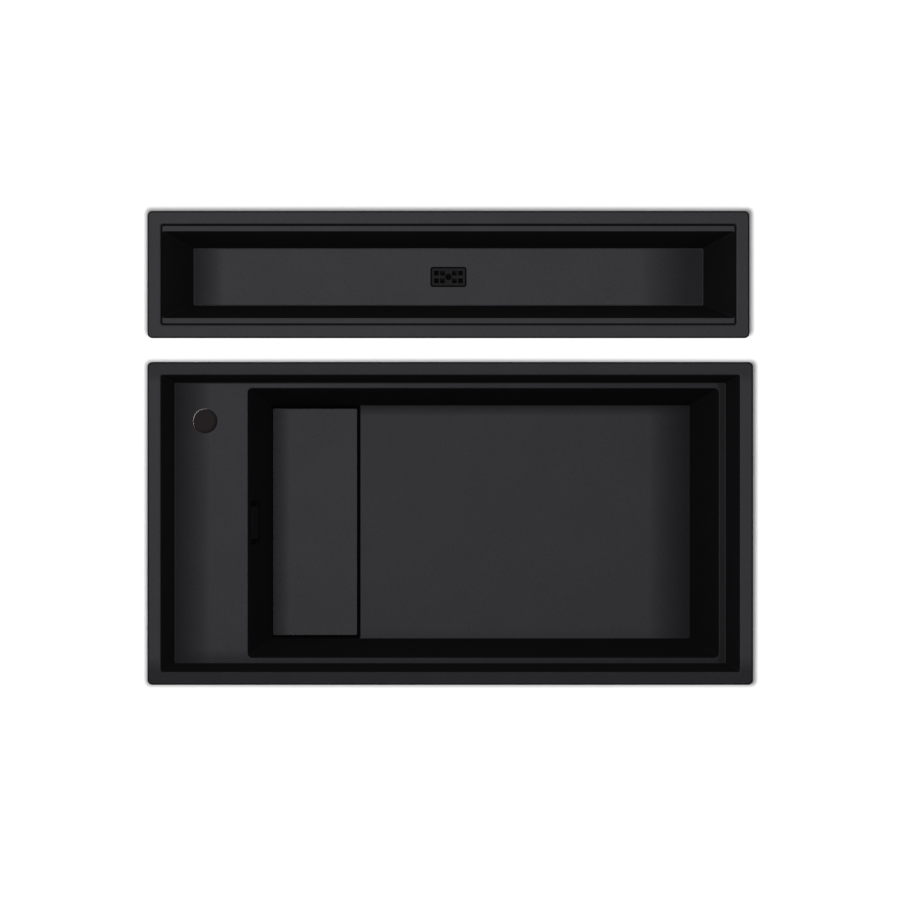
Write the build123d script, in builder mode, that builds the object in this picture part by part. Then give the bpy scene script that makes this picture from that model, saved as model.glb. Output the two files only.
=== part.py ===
from build123d import *
import math
import os

# Granite composite kitchen sink set: a large inset sink with a recessed tap deck, and a narrow
# accessory trough that sits in the same worktop behind it.
# Millimetres. The origin is the middle of the sink's rim, level with its top. +X runs along the
# sink away from the tap, +Y points to the trough, +Z is up.

# Sink rim and upper basin
sink_length = 860.0
sink_width = 458.5
rim_width = 18.2
rim_thickness = 10.0
rim_corner = 7.0
rim_round = 2.0
wall = 8.0
basin_corner = 2.5
step_depth = 65.0
step_draft_ends = 18.3
step_draft_sides = 10.85
deck_thickness = 10.0
deck_width = 104.0
ledge_end = 9.5
ledge_side = 7.6
ledge_round = 1.5
foot_round = 1.8
under_round = 5.0

# Bowl below the step
bowl_corner = 6.0
bowl_depth = 165.0
bowl_draft_drain = 31.0
bowl_draft_far = 36.5
bowl_draft_sides = 23.7
floor_thickness = 9.0

# Sump in the bowl's floor, and the cover plate that lies over it
cover_length = 122.0
cover_gap_wall = 1.5
cover_gap_floor = 5.0
cover_gap_ends = 4.4
cover_thickness = 10.0
cover_corner = 2.0
cover_draft = 0.8
cover_round = 1.0
cover_skin = 5.0
cover_rib = 6.0
cover_pockets = 4
cover_foot_inset = 14.0
cover_foot_radius = 7.0
cover_pad_radius = 6.0
cover_pad_height = 3.0
sump_depth = 32.0
sump_draft = 2.0
sump_floor_thickness = 10.0

# Tap hole in the recessed deck, and the webs under the deck
tap_hole_radius = 17.5
tap_from_end = 43.5
tap_from_back = 54.5
web_thickness = 8.0
web_depth = 80.0
web_places = (-150.0, -60.0, 65.0)

# Waste outlet under the sump
waste_hole_radius = 45.0
seat_radius = 57.0
seat_depth = 3.0
waste_boss_radius = 64.0
waste_boss_height = 4.0
flange_clearance = 0.75
flange_thickness = 1.5
dish_clearance = 2.0
dish_wall = 1.2
dish_depth = 23.0
dish_floor = 1.5
dish_holes = 8
dish_hole_radius = 5.0
dish_hole_circle = 27.0
hub_radius = 10.5
hub_depth = 6.3
screw_radius = 3.0
screw_clearance = 0.2
screw_head_radius = 8.0
screw_head_height = 4.3
screw_length = 34.0
socket_depth = 3.2
socket_clearance = 0.4
under_gasket = 3.0
under_gasket_radius = 60.0

# Strainer basket that lifts between closed and open
basket_clearance = 0.6
basket_wall = 1.0
basket_inset = 5.0
basket_height = 13.0
stopper_radius = 36.0
stopper_thickness = 3.0
stopper_gap = 0.2
stem_radius = 3.0
stem_tip = 4.4
collar_radius = 7.0
collar_height = 5.0
knob_radius = 9.0
knob_height = 8.0
knob_bevel = 1.6
basket_holes_inner = 10
basket_holes_outer = 18
basket_hole_radius = 2.0
basket_hole_inset = 6.0
basket_ring_pitch = 13.0

# Waste body, its nut and its tail pipe
body_radius = 47.0
body_wall = 3.0
body_depth = 30.0
body_cone = 15.0
body_flange = 4.0
body_arms = 3
body_arm_width = 4.0
body_arm_height = 6.0
body_hub_radius = 7.0
body_hub_depth = 14.0
spigot_length = 18.0
spigot_wall = 3.9
sink_pipe_radius = 20.0
sink_pipe_length = 46.0
pipe_wall = 2.0
pipe_flange = 2.5
pipe_shoulder = 0.5
shoulder_length = 5.0
pipe_clearance = 0.4
washer_thickness = 2.0
nut_clearance = 0.3
nut_wall = 5.0
nut_skirt = 10.0
nut_lip = 3.5
nut_grips = 8
nut_grip_radius = 2.5
hose_radius = 10.0
hose_wall = 2.0
hose_grip = 22.0
hose_stop = 5.0
hose_stop_rim = 1.5

# Overflow in the bowl's wall at the drain end
overflow_drop = 48.5
overflow_length = 62.0
overflow_height = 46.0
overflow_corner = 4.0
overflow_pocket = 5.0
overflow_boss = 5.0
overflow_boss_margin = 10.0
overflow_window_length = 44.0
overflow_window_height = 20.0
overflow_plate_length = 47.0
overflow_plate_gap = 1.0
overflow_plate_thickness = 3.0
overflow_peg_radius = 2.5
overflow_prong_gap = 0.3
overflow_prong_width = 16.0
overflow_prong_thickness = 1.8
overflow_prong_reach = 13.0
overflow_gasket = 2.0
housing_flange = 3.0
housing_depth = 24.0
housing_wall = 2.5
housing_margin = 4.0
housing_taper = 4.0
housing_spigot_length = 28.0
housing_screw_radius = 1.5
housing_screw_grip = 4.0
housing_head_radius = 3.8
housing_head_height = 2.2

# Fixing clips under both rims, and the sealing tape
seal_thickness = 2.0
seal_width = 8.0
seal_inset = 2.5
worktop_thickness = 38.0
pad_width = 44.0
pad_depth = 14.0
pad_drop = 32.0
pad_slope = 8.0
insert_drop = 30.0
insert_radius = 4.0
insert_length = 7.0
insert_clearance = 0.1
clip_width = 28.0
clip_gauge = 2.0
clip_reach = 11.5
clip_rise = 12.0
clip_tooth = 3.0
clip_slot_radius = 2.6
clip_slot_length = 14.0
clip_bend = 1.5
clip_screw_radius = 2.0
clip_head_radius = 4.5
clip_head_height = 3.0
clip_head_bevel = 1.0
sink_side_clips = (-290.0, 20.0, 330.0)
trough_side_clips = (-300.0, 0.0, 300.0)

# Trough
trough_length = 855.0
trough_width = 180.5
trough_gap = 34.0
trough_depth = 150.0
trough_draft_ends = 42.6
rail_depth = 10.0
rail_draft = 2.9
rail_width = 7.3
trough_draft_sides = 20.6
trough_floor_thickness = 9.0

# Trough drain
grate_length = 47.7
grate_width = 24.7
grate_thickness = 3.0
grate_corner = 1.5
grate_gap = 2.15
grate_recess = 5.0
grate_hole = 6.7
grate_hole_pitch = 8.65
grate_hole_offset = 12.9
grate_row_pitch = 11.0
grate_screw_radius = 2.5
grate_head_radius = 4.5
grate_head_height = 2.2
grate_head_socket = 2.0
grate_window_length = 43.0
grate_window_width = 20.0
trough_boss_margin = 10.0
trough_boss_height = 5.0
trough_gasket = 2.0
trough_gasket_rim = 3.0
trap_flange = 3.0
trap_depth = 22.0
trap_wall = 2.5
trap_post_radius = 5.0
trough_pipe_radius = 16.0
trough_pipe_length = 46.0

# Places worked out from the sizes above
opening_x = sink_length / 2 - rim_width
opening_y = sink_width / 2 - rim_width
step_x = opening_x - step_draft_ends
step_y = opening_y - step_draft_sides
bowl_left = -step_x + deck_width
bowl_right = step_x - ledge_end
bowl_y = step_y - ledge_side
floor_z = -(step_depth + bowl_depth)
floor_left = bowl_left + bowl_draft_drain
floor_right = bowl_right - bowl_draft_far
floor_y = bowl_y - bowl_draft_sides
sump_right = floor_left + cover_gap_wall + cover_length + cover_gap_floor
sump_z = floor_z - sump_depth
drain_x = (floor_left + sump_right) / 2
outer_corner = bowl_corner + wall
tap_x = -step_x + tap_from_end
tap_y = step_y - tap_from_back


def part_way(start, end, share):
    # The value a share of the way from start to end, or past it
    return start + (end - start) * share


def tray(z, x_low, x_high, y_half, radius, y_mid=0.0):
    # One level section of a basin: a rectangle with rounded corners
    with BuildSketch(Plane.XY.offset(z)) as section:
        with Locations(((x_low + x_high) / 2, y_mid)):
            RectangleRounded(x_high - x_low, 2 * y_half, radius)
    return section.sketch.face()


def half_section(x, y, outline):
    # A closed outline of (radius, Z) points beside a vertical axis at x, y
    with BuildSketch(Plane(origin=(x, y, 0), x_dir=(1, 0, 0), z_dir=(0, -1, 0))) as section:
        with BuildLine():
            Polyline(*outline, close=True)
        make_face()
    return section.sketch.face()


def upright(x, y):
    return Axis((x, y, 0), (0, 0, 1))


def level_face(part, z):
    # The largest flat face at the level nearest to height z
    levels = part.faces().filter_by(Plane.XY).group_by(Axis.Z)
    nearest = min(levels, key=lambda level: abs(level[0].center().Z - z))
    return nearest.sort_by(SortBy.AREA)[-1]


# Each clip place looks outwards from its pad, level with the insert's axis
pad_x = part_way(opening_x, step_x, rim_thickness / step_depth) + wall
pad_y = part_way(opening_y, step_y, rim_thickness / step_depth) + wall


def side_clip_places(half_y, x_places, x_mid, y_mid):
    places = []
    for x in x_places:
        for side in (-1, 1):
            origin = (x_mid + x, y_mid + side * half_y, -insert_drop)
            place = Plane(origin=origin, x_dir=(-side, 0, 0), z_dir=(0, side, 0))
            places.append(Location(place))
    return places


def end_clip_places(half_x):
    places = []
    for side in (-1, 1):
        origin = (side * half_x, 0, -insert_drop)
        place = Plane(origin=origin, x_dir=(0, side, 0), z_dir=(side, 0, 0))
        places.append(Location(place))
    return places


sink_clip_places = side_clip_places(pad_y, sink_side_clips, 0.0, 0.0) + end_clip_places(pad_x)

# One clip pad, in the axes of a clip place: X along the wall, Y up, Z outwards
pad_top = insert_drop - rim_thickness / 2
pad_low = pad_top - rim_thickness / 2 - pad_drop
with BuildPart() as clip_pad:
    with BuildSketch(Plane.YZ.offset(-pad_width / 2)):
        with BuildLine():
            Polyline(
                (pad_top, 0),
                (pad_low, 0),
                (pad_low - pad_slope, -pad_slope),
                (pad_low - pad_slope, -pad_depth),
                (pad_top, -pad_depth),
                close=True,
            )
        make_face()
    extrude(amount=pad_width)

# Sink body
under_share = (step_depth + deck_thickness) / step_depth
bowl_under_share = (bowl_depth + floor_thickness) / bowl_depth
sump_under = sump_depth + sump_floor_thickness
overflow_share = overflow_drop / bowl_depth
overflow_plane = Plane(
    origin=(part_way(bowl_left, floor_left, overflow_share), 0, -step_depth - overflow_drop),
    x_dir=(0, 1, 0),
    z_dir=(bowl_depth, 0, bowl_draft_drain),
)
wall_square = wall * bowl_depth / math.hypot(bowl_depth, bowl_draft_drain)
overflow_back = wall_square + overflow_boss
boss_length = overflow_length + 2 * overflow_boss_margin
boss_height = overflow_height + 2 * overflow_boss_margin
overflow_screw_x = (overflow_length / 2 + boss_length / 2) / 2

with BuildPart() as sink_body:
    # Rim
    extrude(
        tray(-rim_thickness, -sink_length / 2, sink_length / 2, sink_width / 2, rim_corner),
        amount=rim_thickness,
    )
    # Outside of the upper basin
    x_under = part_way(opening_x, step_x, under_share) + wall
    y_under = part_way(opening_y, step_y, under_share) + wall
    loft(
        [
            tray(0, -opening_x - wall, opening_x + wall, opening_y + wall, outer_corner),
            tray(-step_depth - deck_thickness, -x_under, x_under, y_under, outer_corner),
        ],
        ruled=True,
    )
    fillet(level_face(sink_body.part, -step_depth - deck_thickness).edges(), under_round)
    # Clip pads
    with Locations(*sink_clip_places):
        add(clip_pad.part)
    # Webs that carry the deck on the bowl's wall
    web_share = web_depth / bowl_depth
    for y in web_places:
        with BuildSketch(Plane.XZ.offset(-y - web_thickness / 2)):
            with BuildLine():
                Polyline(
                    (-x_under + wall, -step_depth - deck_thickness / 2),
                    (bowl_left, -step_depth - deck_thickness / 2),
                    (part_way(bowl_left, floor_left, web_share) - wall / 2, -step_depth - web_depth),
                    (part_way(bowl_left, floor_left, web_share) - wall, -step_depth - web_depth),
                    close=True,
                )
            make_face()
        extrude(amount=web_thickness)
    # Outside of the bowl
    loft(
        [
            tray(-step_depth, bowl_left - wall, bowl_right + wall, bowl_y + wall, outer_corner),
            tray(
                floor_z - floor_thickness,
                part_way(bowl_left, floor_left, bowl_under_share) - wall,
                part_way(bowl_right, floor_right, bowl_under_share) + wall,
                part_way(bowl_y, floor_y, bowl_under_share) + wall,
                outer_corner,
            ),
        ],
        ruled=True,
    )
    fillet(level_face(sink_body.part, floor_z - floor_thickness).edges(), under_round)
    # Outside of the sump
    sump_under_share = sump_under / sump_depth
    loft(
        [
            tray(floor_z, floor_left - wall, sump_right + wall, floor_y + wall, outer_corner),
            tray(
                floor_z - sump_under,
                floor_left - wall + sump_draft * sump_under_share,
                sump_right + wall - sump_draft * sump_under_share,
                floor_y + wall - sump_draft * sump_under_share,
                outer_corner,
            ),
        ],
        ruled=True,
    )
    fillet(level_face(sink_body.part, floor_z - sump_under).edges(), under_round)
    # Round boss under the waste hole
    with BuildSketch(Plane.XY.offset(floor_z - sump_under - waste_boss_height)):
        with Locations((drain_x, 0)):
            Circle(waste_boss_radius)
    extrude(amount=waste_boss_height + sump_floor_thickness / 2)
    # Boss behind the overflow
    with BuildSketch(overflow_plane.offset(-overflow_back)):
        RectangleRounded(boss_length, boss_height, overflow_corner + overflow_boss_margin)
    extrude(amount=overflow_back - overflow_pocket / 2)
    # Upper basin
    loft(
        [
            tray(0, -opening_x, opening_x, opening_y, basin_corner),
            tray(-step_depth, -step_x, step_x, step_y, basin_corner),
        ],
        ruled=True,
        mode=Mode.SUBTRACT,
    )
    # Bowl
    loft(
        [
            tray(-step_depth, bowl_left, bowl_right, bowl_y, bowl_corner),
            tray(floor_z, floor_left, floor_right, floor_y, basin_corner),
        ],
        ruled=True,
        mode=Mode.SUBTRACT,
    )
    # Sump
    loft(
        [
            tray(floor_z, floor_left, sump_right, floor_y, basin_corner),
            tray(
                sump_z,
                floor_left + sump_draft,
                sump_right - sump_draft,
                floor_y - sump_draft,
                basin_corner,
            ),
        ],
        ruled=True,
        mode=Mode.SUBTRACT,
    )
    # Rounded edges, from the rim down
    rim_face = level_face(sink_body.part, 0)
    fillet(rim_face.outer_wire().edges() + rim_face.inner_wires()[0].edges(), rim_round)
    step_face = level_face(sink_body.part, -step_depth)
    fillet(step_face.inner_wires()[0].edges(), ledge_round)
    step_face = level_face(sink_body.part, -step_depth)
    fillet(step_face.outer_wire().edges(), foot_round)
    sump_face = level_face(sink_body.part, sump_z)
    fillet(sump_face.outer_wire().edges(), foot_round)
    # Tap hole
    with BuildSketch(Plane.XY.offset(-step_depth)):
        with Locations((tap_x, tap_y)):
            Circle(tap_hole_radius)
    extrude(amount=-deck_thickness, mode=Mode.SUBTRACT)
    # Waste hole and the seat of its flange
    with BuildSketch(Plane.XY.offset(sump_z)):
        with Locations((drain_x, 0)):
            Circle(seat_radius)
    extrude(amount=-seat_depth, mode=Mode.SUBTRACT)
    with BuildSketch(Plane.XY.offset(sump_z)):
        with Locations((drain_x, 0)):
            Circle(waste_hole_radius)
    extrude(amount=-sump_floor_thickness - waste_boss_height, mode=Mode.SUBTRACT)
    # Overflow pocket and its window through the wall
    with BuildSketch(overflow_plane):
        RectangleRounded(overflow_length, overflow_height, overflow_corner)
    extrude(amount=-overflow_pocket, mode=Mode.SUBTRACT)
    with BuildSketch(overflow_plane):
        RectangleRounded(overflow_window_length, overflow_window_height, overflow_corner)
    extrude(amount=-overflow_back, mode=Mode.SUBTRACT)
    with BuildSketch(overflow_plane.offset(-overflow_back)):
        with GridLocations(2 * overflow_screw_x, 1, 2, 1):
            Circle(housing_screw_radius + insert_clearance)
    extrude(amount=housing_screw_grip + insert_clearance, mode=Mode.SUBTRACT)
    # Holes for the clips' inserts
    with BuildSketch(*[Plane(place) for place in sink_clip_places]):
        Circle(insert_radius + insert_clearance)
    extrude(amount=-insert_length - insert_clearance, mode=Mode.SUBTRACT)
sink_body.part.label = "sink_body"


# Cover plate: a tapered slab, hollowed underneath between its ribs, standing on four posts
cover_left = floor_left + cover_gap_wall
cover_right = cover_left + cover_length
cover_y = floor_y - cover_gap_ends
cover_under = floor_z - cover_thickness
post_x = cover_length / 2 - cover_foot_inset
post_y = cover_y - cover_foot_inset
pocket_length = cover_length - 2 * (cover_draft + cover_rib)
pocket_pitch = (2 * (cover_y - cover_draft) - cover_rib) / cover_pockets
cover_middle = (cover_left + cover_right) / 2

with BuildPart() as drain_cover:
    loft(
        [
            tray(floor_z, cover_left, cover_right, cover_y, cover_corner),
            tray(
                cover_under,
                cover_left + cover_draft,
                cover_right - cover_draft,
                cover_y - cover_draft,
                cover_corner,
            ),
        ],
        ruled=True,
    )
    fillet(level_face(drain_cover.part, floor_z).edges(), cover_round)
    with BuildSketch(Plane.XY.offset(cover_under)):
        with Locations((cover_middle, 0)):
            with GridLocations(1, pocket_pitch, 1, cover_pockets):
                RectangleRounded(pocket_length, pocket_pitch - cover_rib, cover_corner)
    extrude(amount=cover_thickness - cover_skin, mode=Mode.SUBTRACT)
    with BuildSketch(Plane.XY.offset(sump_z + cover_pad_height)):
        with Locations((cover_middle, 0)):
            with GridLocations(2 * post_x, 2 * post_y, 2, 2):
                Circle(cover_foot_radius)
    extrude(amount=sump_depth - cover_pad_height - cover_skin / 2)
drain_cover.part.label = "drain_cover"

with BuildPart() as cover_feet:
    with BuildSketch(Plane.XY.offset(sump_z)):
        with Locations((cover_middle, 0)):
            with GridLocations(2 * post_x, 2 * post_y, 2, 2):
                Circle(cover_pad_radius)
    extrude(amount=cover_pad_height)
cover_feet.part.label = "cover_feet"

# Waste: the dish in its seat, from the gasket up
drain_axis = upright(drain_x, 0)
seat_z = sump_z - seat_depth
gasket_top = sump_z - flange_thickness
flange_radius = seat_radius - flange_clearance
dish_radius = waste_hole_radius - dish_clearance
dish_inside = dish_radius - dish_wall
dish_z = sump_z - dish_depth
dish_under = dish_z - dish_floor
hub_z = dish_z - hub_depth
hub_hole = screw_radius + screw_clearance

with BuildPart() as waste_flange:
    revolve(
        half_section(
            drain_x,
            0,
            [
                (dish_inside, sump_z),
                (flange_radius, sump_z),
                (flange_radius, gasket_top),
                (dish_radius, gasket_top),
                (dish_radius, dish_under),
                (hub_radius + dish_wall, dish_under),
                (hub_radius + dish_wall, hub_z - dish_floor),
                (hub_hole, hub_z - dish_floor),
                (hub_hole, hub_z),
                (hub_radius, hub_z),
                (hub_radius, dish_z),
                (dish_inside, dish_z),
            ],
        ),
        axis=drain_axis,
    )
    with BuildSketch(Plane.XY.offset(dish_z)):
        with Locations((drain_x, 0)):
            with PolarLocations(dish_hole_circle, dish_holes):
                Circle(dish_hole_radius)
    extrude(amount=-dish_floor, mode=Mode.SUBTRACT)
waste_flange.part.label = "waste_flange"


def flat_ring(x, y, z, inner, outer, height):
    # A washer or gasket lying on height z
    with BuildPart() as ring:
        with BuildSketch(Plane.XY.offset(z)):
            with Locations((x, y)):
                Circle(outer)
                Circle(inner, mode=Mode.SUBTRACT)
        extrude(amount=height)
    return ring.part


flange_gasket_height = seat_depth - flange_thickness
flange_gasket = flat_ring(drain_x, 0, seat_z, waste_hole_radius, flange_radius, flange_gasket_height)
flange_gasket.label = "flange_gasket"

boss_z = floor_z - sump_under - waste_boss_height
body_z = boss_z - under_gasket
body_gasket = flat_ring(drain_x, 0, body_z, waste_hole_radius, under_gasket_radius, under_gasket)
body_gasket.label = "body_gasket"

with BuildPart() as waste_screw:
    revolve(
        half_section(
            drain_x,
            0,
            [
                (0, hub_z - screw_length),
                (screw_radius, hub_z - screw_length),
                (screw_radius, hub_z),
                (screw_head_radius, hub_z),
                (screw_head_radius, hub_z + screw_head_height),
                (stem_radius + socket_clearance, hub_z + screw_head_height),
                (stem_radius + socket_clearance, hub_z + screw_head_height - socket_depth),
                (0, hub_z + screw_head_height - socket_depth),
            ],
        ),
        axis=drain_axis,
    )
waste_screw.part.label = "waste_screw"

# Basket: stopper just above the dish's floor, cup above it, stem through both
stopper_z = dish_z + stopper_gap
stopper_top = stopper_z + stopper_thickness
cup_z = stopper_top + collar_height
basket_radius = dish_inside - basket_clearance
cup_radius = basket_radius - basket_inset
outer_circle = cup_radius - basket_hole_inset
inner_circle = outer_circle - basket_ring_pitch
rim_z = cup_z + basket_height

with BuildPart() as strainer_basket:
    revolve(
        half_section(
            drain_x,
            0,
            [
                (stem_radius, cup_z),
                (cup_radius, cup_z),
                (cup_radius, rim_z - basket_wall),
                (basket_radius, rim_z - basket_wall),
                (basket_radius, rim_z),
                (cup_radius - basket_wall, rim_z),
                (cup_radius - basket_wall, cup_z + basket_wall),
                (stem_radius, cup_z + basket_wall),
            ],
        ),
        axis=drain_axis,
    )
    with BuildSketch(Plane.XY.offset(cup_z)):
        with Locations((drain_x, 0)):
            with PolarLocations(inner_circle, basket_holes_inner):
                Circle(basket_hole_radius)
            with PolarLocations(outer_circle, basket_holes_outer):
                Circle(basket_hole_radius)
    extrude(amount=basket_wall, mode=Mode.SUBTRACT)
strainer_basket.part.label = "strainer_basket"

basket_stopper = flat_ring(drain_x, 0, stopper_z, stem_radius, stopper_radius, stopper_thickness)
basket_stopper.label = "basket_stopper"

knob_z = sump_z
with BuildPart() as basket_stem:
    revolve(
        half_section(
            drain_x,
            0,
            [
                (0, stopper_z - stem_tip),
                (stem_radius, stopper_z - stem_tip),
                (stem_radius, stopper_top),
                (collar_radius, stopper_top),
                (collar_radius, cup_z),
                (stem_radius, cup_z),
                (stem_radius, cup_z + basket_wall),
                (collar_radius, cup_z + basket_wall),
                (stem_radius, cup_z + basket_height / 2),
                (stem_radius, knob_z),
                (knob_radius, knob_z + knob_height / 2),
                (knob_radius, knob_z + knob_height),
                (0, knob_z + knob_height),
            ],
        ),
        axis=drain_axis,
    )
    chamfer(level_face(basket_stem.part, knob_z + knob_height).edges(), knob_bevel)
basket_stem.part.label = "basket_stem"

# Waste body under the sink: flange, bowl, cone and threaded spigot, with a hub on three arms
body_foot = body_z - body_depth
cone_foot = body_foot - body_cone
spigot_radius = sink_pipe_radius + spigot_wall
spigot_z = cone_foot - spigot_length
arms_top = hub_z - dish_floor - screw_clearance
stub_z = body_foot + hose_radius + hose_stop_rim
stub_plane = Plane(origin=(drain_x, 0, stub_z), x_dir=(0, 1, 0), z_dir=(-1, 0, 0))
stub_stop = body_radius + body_wall + hose_stop

with BuildPart() as waste_body:
    revolve(
        half_section(
            drain_x,
            0,
            [
                (0, body_z),
                (under_gasket_radius, body_z),
                (under_gasket_radius, body_z - body_flange),
                (body_radius + body_wall, body_z - body_flange),
                (body_radius + body_wall, body_foot),
                (spigot_radius, cone_foot),
                (spigot_radius, spigot_z),
                (0, spigot_z),
            ],
        ),
        axis=drain_axis,
    )
    # Stub for the overflow hose, with the collar that the hose stops against
    with BuildSketch(stub_plane):
        Circle(hose_radius)
    extrude(amount=stub_stop + hose_grip)
    with BuildSketch(stub_plane):
        Circle(hose_radius + hose_stop_rim)
    extrude(amount=stub_stop)
    revolve(
        half_section(
            drain_x,
            0,
            [
                (0, body_z),
                (body_radius, body_z),
                (body_radius, body_foot),
                (sink_pipe_radius, cone_foot),
                (sink_pipe_radius, spigot_z),
                (0, spigot_z),
            ],
        ),
        axis=drain_axis,
        mode=Mode.SUBTRACT,
    )
    with BuildSketch(stub_plane):
        Circle(hose_radius - hose_wall)
    extrude(amount=stub_stop + hose_grip, mode=Mode.SUBTRACT)
    # Hub for the long screw, on its arms
    with BuildSketch(Plane.XY.offset(arms_top - body_arm_height)):
        with Locations((drain_x, 0)):
            with PolarLocations((body_radius + body_wall / 2) / 2, body_arms):
                Rectangle(body_radius + body_wall / 2, body_arm_width)
    extrude(amount=body_arm_height)
    with BuildSketch(Plane.XY.offset(arms_top - body_hub_depth)):
        with Locations((drain_x, 0)):
            Circle(body_hub_radius)
    extrude(amount=body_hub_depth)
    with BuildSketch(Plane.XY.offset(arms_top - body_hub_depth)):
        with Locations((drain_x, 0)):
            Circle(hub_hole)
    extrude(amount=body_hub_depth, mode=Mode.SUBTRACT)
waste_body.part.label = "waste_body"


def tail_pipe(x, y, spigot_end, radius, length):
    # A flanged pipe hung under a spigot, one washer below its end
    top = spigot_end - washer_thickness
    flange = radius + spigot_wall - nut_clearance
    outline = [
        (radius - pipe_wall, top),
        (flange, top),
        (flange, top - pipe_flange),
        (radius + pipe_shoulder, top - pipe_flange),
        (radius + pipe_shoulder, top - pipe_flange - shoulder_length),
        (radius, top - pipe_flange - shoulder_length),
        (radius, top - length),
        (radius - pipe_wall, top - length),
    ]
    with BuildPart() as pipe:
        revolve(half_section(x, y, outline), axis=upright(x, y))
    return pipe.part


def tail_washer(x, y, spigot_end, radius):
    outer = radius + spigot_wall - nut_clearance
    return flat_ring(x, y, spigot_end - washer_thickness, radius, outer, washer_thickness)


def tail_nut(x, y, spigot_end, radius):
    # The nut's skirt covers the spigot, and its lip carries the pipe's flange
    inner = radius + spigot_wall + nut_clearance
    outer = inner + nut_wall
    throat = radius + pipe_shoulder + pipe_clearance
    flange_under = spigot_end - washer_thickness - pipe_flange
    outline = [
        (inner, spigot_end + nut_skirt),
        (outer, spigot_end + nut_skirt),
        (outer, flange_under - nut_lip),
        (throat, flange_under - nut_lip),
        (throat, flange_under),
        (inner, flange_under),
    ]
    with BuildPart() as nut:
        revolve(half_section(x, y, outline), axis=upright(x, y))
        with BuildSketch(Plane.XY.offset(flange_under - nut_lip)):
            with Locations((x, y)):
                with PolarLocations(outer, nut_grips):
                    Circle(nut_grip_radius)
                Circle(inner, mode=Mode.SUBTRACT)
        extrude(amount=nut_skirt + washer_thickness + pipe_flange + nut_lip)
    return nut.part


sink_tail_pipe = tail_pipe(drain_x, 0, spigot_z, sink_pipe_radius, sink_pipe_length)
sink_tail_pipe.label = "sink_tail_pipe"
sink_tail_washer = tail_washer(drain_x, 0, spigot_z, sink_pipe_radius)
sink_tail_washer.label = "sink_tail_washer"
sink_tail_nut = tail_nut(drain_x, 0, spigot_z, sink_pipe_radius)
sink_tail_nut.label = "sink_tail_nut"

# Overflow: the plate inside the bowl, the gasket, housing and screws behind its wall
plate_height = overflow_height - 2 * overflow_plate_gap
prong_middle = overflow_window_height / 2 - overflow_prong_gap - overflow_prong_thickness / 2
peg_places = (overflow_plate_length / 2 - overflow_corner, plate_height / 2 - overflow_corner)

with BuildPart() as overflow_cover:
    with BuildSketch(overflow_plane):
        RectangleRounded(overflow_plate_length, plate_height, overflow_corner)
    extrude(amount=-overflow_plate_thickness)
    with BuildSketch(overflow_plane.offset(-overflow_pocket)):
        with GridLocations(2 * peg_places[0], 2 * peg_places[1], 2, 2):
            Circle(overflow_peg_radius)
    extrude(amount=overflow_pocket - overflow_plate_thickness)
    with BuildSketch(overflow_plane.offset(-overflow_plate_thickness)):
        with GridLocations(1, 2 * prong_middle, 1, 2):
            Rectangle(overflow_prong_width, overflow_prong_thickness)
    extrude(amount=-overflow_prong_reach)
overflow_cover.part.label = "overflow_cover"

housing_length = boss_length - housing_margin
housing_height = boss_height - housing_margin
cup_length = overflow_window_length + housing_margin
cup_height = overflow_window_height + housing_margin
gasket_back = overflow_back + overflow_gasket
flange_back = gasket_back + housing_flange

with BuildPart() as overflow_gasket_ring:
    with BuildSketch(overflow_plane.offset(-gasket_back)):
        RectangleRounded(overflow_length, cup_height + 2 * housing_margin, overflow_corner)
        RectangleRounded(
            overflow_window_length,
            overflow_window_height,
            overflow_corner,
            mode=Mode.SUBTRACT,
        )
    extrude(amount=overflow_gasket)
overflow_gasket_ring.part.label = "overflow_gasket"

housing_spigot_top = overflow_plane.offset(-gasket_back - housing_depth / 2).origin
housing_spigot_reach = cup_height / 2 + housing_wall + housing_spigot_length
with BuildPart() as overflow_housing:
    with BuildSketch(overflow_plane.offset(-flange_back)):
        RectangleRounded(housing_length, housing_height, overflow_corner)
    extrude(amount=housing_flange)
    with BuildSketch(overflow_plane.offset(-gasket_back)):
        RectangleRounded(cup_length + 2 * housing_wall, cup_height + 2 * housing_wall, overflow_corner)
    extrude(amount=-housing_depth - housing_wall, taper=housing_taper)
    with BuildSketch(Plane.XY.offset(housing_spigot_top.Z)):
        with Locations((housing_spigot_top.X, 0)):
            Circle(hose_radius)
    extrude(amount=-housing_spigot_reach)
    with BuildSketch(Plane.XY.offset(housing_spigot_top.Z - housing_spigot_reach + hose_grip)):
        with Locations((housing_spigot_top.X, 0)):
            Circle(hose_radius + hose_stop_rim)
    extrude(amount=housing_spigot_length + housing_wall - hose_grip)
    with BuildSketch(overflow_plane.offset(-gasket_back)):
        RectangleRounded(cup_length, cup_height, overflow_corner)
    extrude(amount=-housing_depth, taper=housing_taper, mode=Mode.SUBTRACT)
    with BuildSketch(Plane.XY.offset(housing_spigot_top.Z)):
        with Locations((housing_spigot_top.X, 0)):
            Circle(hose_radius - hose_wall)
    extrude(amount=-housing_spigot_reach, mode=Mode.SUBTRACT)
    with BuildSketch(overflow_plane.offset(-gasket_back)):
        with GridLocations(2 * overflow_screw_x, 1, 2, 1):
            Circle(housing_screw_radius + insert_clearance)
    extrude(amount=-housing_flange, mode=Mode.SUBTRACT)
overflow_housing.part.label = "overflow_housing"

with BuildPart() as overflow_screws:
    with BuildSketch(overflow_plane.offset(-flange_back)):
        with GridLocations(2 * overflow_screw_x, 1, 2, 1):
            Circle(housing_screw_radius)
    extrude(amount=housing_flange + overflow_gasket + housing_screw_grip)
    with BuildSketch(overflow_plane.offset(-flange_back)):
        with GridLocations(2 * overflow_screw_x, 1, 2, 1):
            Circle(housing_head_radius)
    extrude(amount=-housing_head_height)
overflow_screws.part.label = "overflow_screws"

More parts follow.
